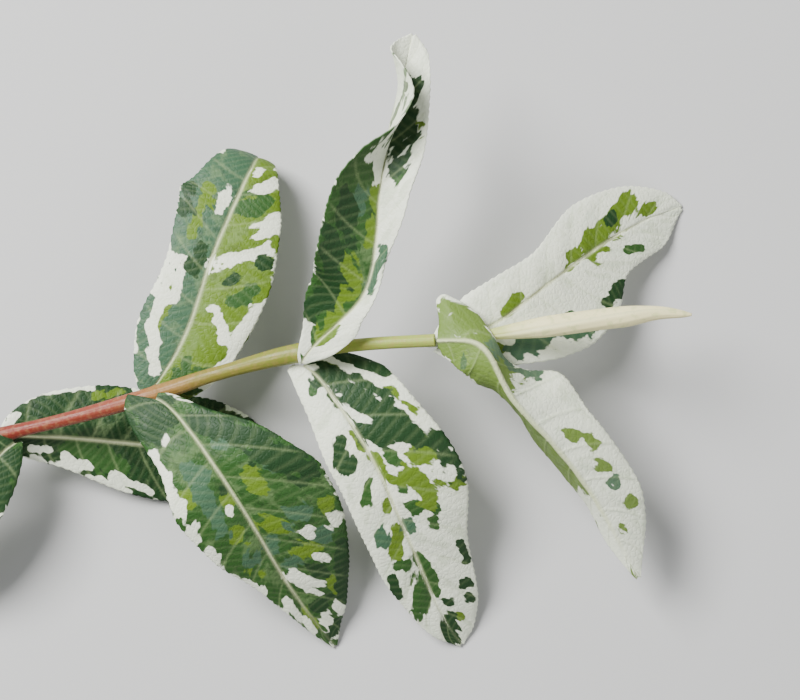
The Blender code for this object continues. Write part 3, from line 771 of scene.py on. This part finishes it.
def leaf_finish(name, left, right, under_share):
    """The skin of one leaf, with a ground on either side of the midrib and its dapples."""
    material, build, shader = new_finish(name + " skin", 0.5)
    right_half = build.field("right_half")
    tracts = build.node("ShaderNodeCombineXYZ")
    build.fill(tracts.inputs[0], build.times(build.field("tract"), 2.6))
    build.fill(tracts.inputs[1], build.field("outward"))
    build.fill(tracts.inputs[2], build.times(right_half, 7.0))
    blotch = build.noise(0.9, 3, tracts.outputs[0])
    fleck = build.noise(1.35, 3, tracts.outputs[0])

    paler = [
        tuple(0.55 * c + 0.45 * d for c, d in zip(TONES[side], PALE_GREEN))
        for side in (left, right)
    ]
    darker = [
        PALE_SHADE if side == "white" else tuple(0.5 * c for c in TONES[side])
        for side in (left, right)
    ]
    tone = build.mix(right_half, TONES[left], TONES[right])
    lightened = build.times(build.between(blotch, 0.50, 0.62), 0.55)
    tone = build.mix(lightened, tone, build.mix(right_half, *paler))
    shaded = build.times(build.between(fleck, 0.36, 0.44, 1.0, 0.0), 0.45)
    tone = build.mix(shaded, tone, build.mix(right_half, *darker))
    for word in LAYERS:
        laid = build.node("ShaderNodeGroup", node_tree=dapple)
        for socket, value in zip(laid.inputs, (tone, TONES[word], build.field(word), blotch, fleck)):
            build.fill(socket, value)
        tone = laid.outputs[0]
    tone = build.mix(build.times(build.field("vein"), 0.20), tone, VEIN_TONE)
    tone = build.mix(build.times(build.field("midrib"), 0.85), tone, MIDRIB_TONE)
    tone = build.mix(build.times(build.field("under"), under_share), tone, UNDER_TONE)
    build.fill(shader.inputs["Base Color"], tone)
    build.fill(shader.inputs["Roughness"], build.between(blotch, 0.25, 0.75, 0.50, 0.66))

    net = build.node("ShaderNodeTexVoronoi", feature="DISTANCE_TO_EDGE")
    net.inputs["Scale"].default_value = 1350
    build.fill(net.inputs["Vector"], build.place())
    cells = build.between(net.outputs["Distance"], 0.0, 0.25)
    relief = build.maths("ADD", cells, build.times(build.noise(2300, 2), 0.8))
    build.fill(shader.inputs["Normal"], build.bump(relief, 0.32, 0.00010))
    return material


def on_flat_blade(leaf, share, across):
    """Where a place on the blade lies once the blade is pressed flat, in millimetres."""
    half = leaf["left" if across < 0 else "right"]
    wide = float(smooth(half["reach"], share)) * abs(across)
    sweep = math.radians(float(smooth(half.get("sweep", USUAL_SWEEP), share)))
    along = share * leaf["length"] + wide * math.sin(sweep)
    return along, math.copysign(wide * math.cos(sweep), across)


def patch_field(leaf, x, y, start, end, radius):
    """How deep the places lie in one patch: 1 in its middle, 0 at its rim, -1 far away."""
    x1, y1 = on_flat_blade(leaf, *start)
    x2, y2 = on_flat_blade(leaf, *end)
    span = max((x2 - x1) ** 2 + (y2 - y1) ** 2, 1e-6)
    q = np.clip(((x - x1) * (x2 - x1) + (y - y1) * (y2 - y1)) / span, 0, 1)
    away = np.hypot(x - x1 - q * (x2 - x1), y - y1 - q * (y2 - y1))
    return np.clip(1 - away / (PATCH_SPREAD * radius), -1, 1)


def closed_sheet(rows, columns):
    """The faces of a thin sheet, upper side first, then lower side, then the rim."""
    a = np.arange(rows - 1)[:, None] * columns + np.arange(columns - 1)
    upper = np.stack([a, a + columns, a + columns + 1, a + 1], -1).reshape(-1, 4)
    count = rows * columns
    rim = np.concatenate([
        np.arange(columns - 1),
        np.arange(rows - 1) * columns + columns - 1,
        (rows - 1) * columns + np.arange(columns - 1, 0, -1),
        np.arange(rows - 1, 0, -1) * columns,
    ])
    onward = np.roll(rim, -1)
    walls = np.stack([rim, onward, onward + count, rim + count], -1)
    return np.vstack([upper, upper[:, ::-1] + count, walls])


def open_leaf(number, name, leaf, patches):
    """The places, faces and fields of one open leaf, grown from its midrib."""
    rib = Rib(leaf["base"], leaf["length"], leaf["heading"], leaf["pitch"])
    length = leaf["length"]
    s = np.linspace(0, 1, BLADE_ALONG + 1)
    t = np.linspace(-1, 1, BLADE_ACROSS + 1)
    s, t = np.meshgrid(s * (0.88 + 0.12 * s), t, indexing="ij")
    u, half = np.abs(t), np.where(t < 0, 0, 1)
    reach, sweep = (
        np.where(t < 0, *(smooth(leaf[side].get(word, USUAL_SWEEP), s) for side in ("left", "right")))
        for word in ("reach", "sweep")
    )
    sweep = np.radians(sweep)

    tooth = (s * length / TOOTH_PITCH + 0.5 * half) % 1.0
    tooth = np.where(tooth < TOOTH_CREST, tooth / TOOTH_CREST, (1 - tooth) / (1 - TOOTH_CREST))
    toothed = np.clip((s - 0.06) / 0.1, 0, 1) * np.clip((0.985 - s) / 0.05, 0, 1)
    outer = np.clip((u - MARGIN_FROM) / (1 - MARGIN_FROM), 0, 1) ** 2
    spread = t * (1 + outer * toothed * TOOTH_DEPTH * (tooth - 0.35) / np.maximum(reach, 1.5))
    flat = blade_points(rib, leaf["left"], leaf["right"], s.ravel(), spread.ravel())
    flat = flat.reshape(*s.shape, 3)
    normal = unit(np.cross(np.gradient(flat, axis=1), np.gradient(flat, axis=0)))

    tract = (s - VEIN_LEAN * u ** 1.3) * VEINS_A_SIDE + 0.5 * half + 0.25
    apart = np.abs(tract - np.round(tract)) * length / VEINS_A_SIDE
    held = np.clip(u / 0.06, 0, 1) * np.clip((1 - u) / 0.12, 0, 1) * np.clip(s / 0.05, 0, 1)
    vein = np.exp(-((apart / VEIN_WIDTH) ** 2)) * held
    small = tract * 4 + 6 * u
    fine = np.exp(-(((small - np.round(small)) / 0.16) ** 2)) * held * 0.35
    quilt = (1 - np.cos(2 * math.pi * tract)) / 2 * held * (1 - 0.5 * u)
    midrib = np.exp(-((u * reach / MIDRIB_WIDTH) ** 2)) * np.clip((0.97 - s) / 0.25, 0.15, 1)
    ripple = RIPPLE_HEIGHT * np.sin(s * 31 + 2.2 * half + 1.7 * len(name)) * outer * toothed

    rise = QUILT_HEIGHT * quilt - 0.05 * fine + ripple
    half_thick = BLADE_THICKNESS / 2 * (1 - 0.45 * outer)
    ridge = MIDRIB_RIDGE * midrib * np.clip(1.05 - s, 0.2, 1) + VEIN_RIDGE * vein + 0.05 * fine
    groove = -MIDRIB_GROOVE * midrib - 0.03 * vein
    face_down = "midrib_side" in leaf
    above, beneath = (ridge, groove) if face_down else (groove, ridge)
    top = flat + normal * (rise + half_thick + above)[..., None]
    bottom = flat + normal * (rise - half_thick - beneath)[..., None]
    places = np.vstack([top.reshape(-1, 3), bottom.reshape(-1, 3)])
    if leaf.get("rests"):
        level = leaf["base"][2]
        above_base = places[:, 2] - level
        places[:, 2] = level + above_base * (-level / above_base.min())

    x = s * length + u * reach * np.sin(sweep)
    y = t * reach * np.cos(sweep)
    fields = {word: np.full(s.shape, -1.0) for word in TONES}
    fields["white"] = np.clip(0.10 - (1 - u) * reach / 1.5, -1, 1)
    for word, s1, t1, s2, t2, radius in patches:
        deep_in = patch_field(leaf, x, y, (s1, t1), (s2, t2), radius)
        fields[word] = np.maximum(fields[word], deep_in)
    fields["vein"] = np.clip(vein + fine, 0, 1)
    fields["midrib"] = midrib
    fields["tract"] = tract + 31.0 * number
    fields["outward"] = u * reach / 2.6
    fields["right_half"] = np.clip(t * 12 + 0.5, 0, 1)
    fields = {word: np.concatenate([values.ravel()] * 2) for word, values in fields.items()}
    fields["under"] = np.repeat((1.0, 0.0) if face_down else (0.0, 1.0), s.size)
    return places, closed_sheet(*s.shape), fields


for number, (name, leaf) in enumerate(LEAVES.items()):
    (left, right), patches = DAPPLES[name]
    places, faces, fields = open_leaf(number, name, leaf, patches)
    under_share = 0.06 if "midrib_side" in leaf else 0.25
    piece(name, places, faces, fields, leaf_finish(name, left, right, under_share))
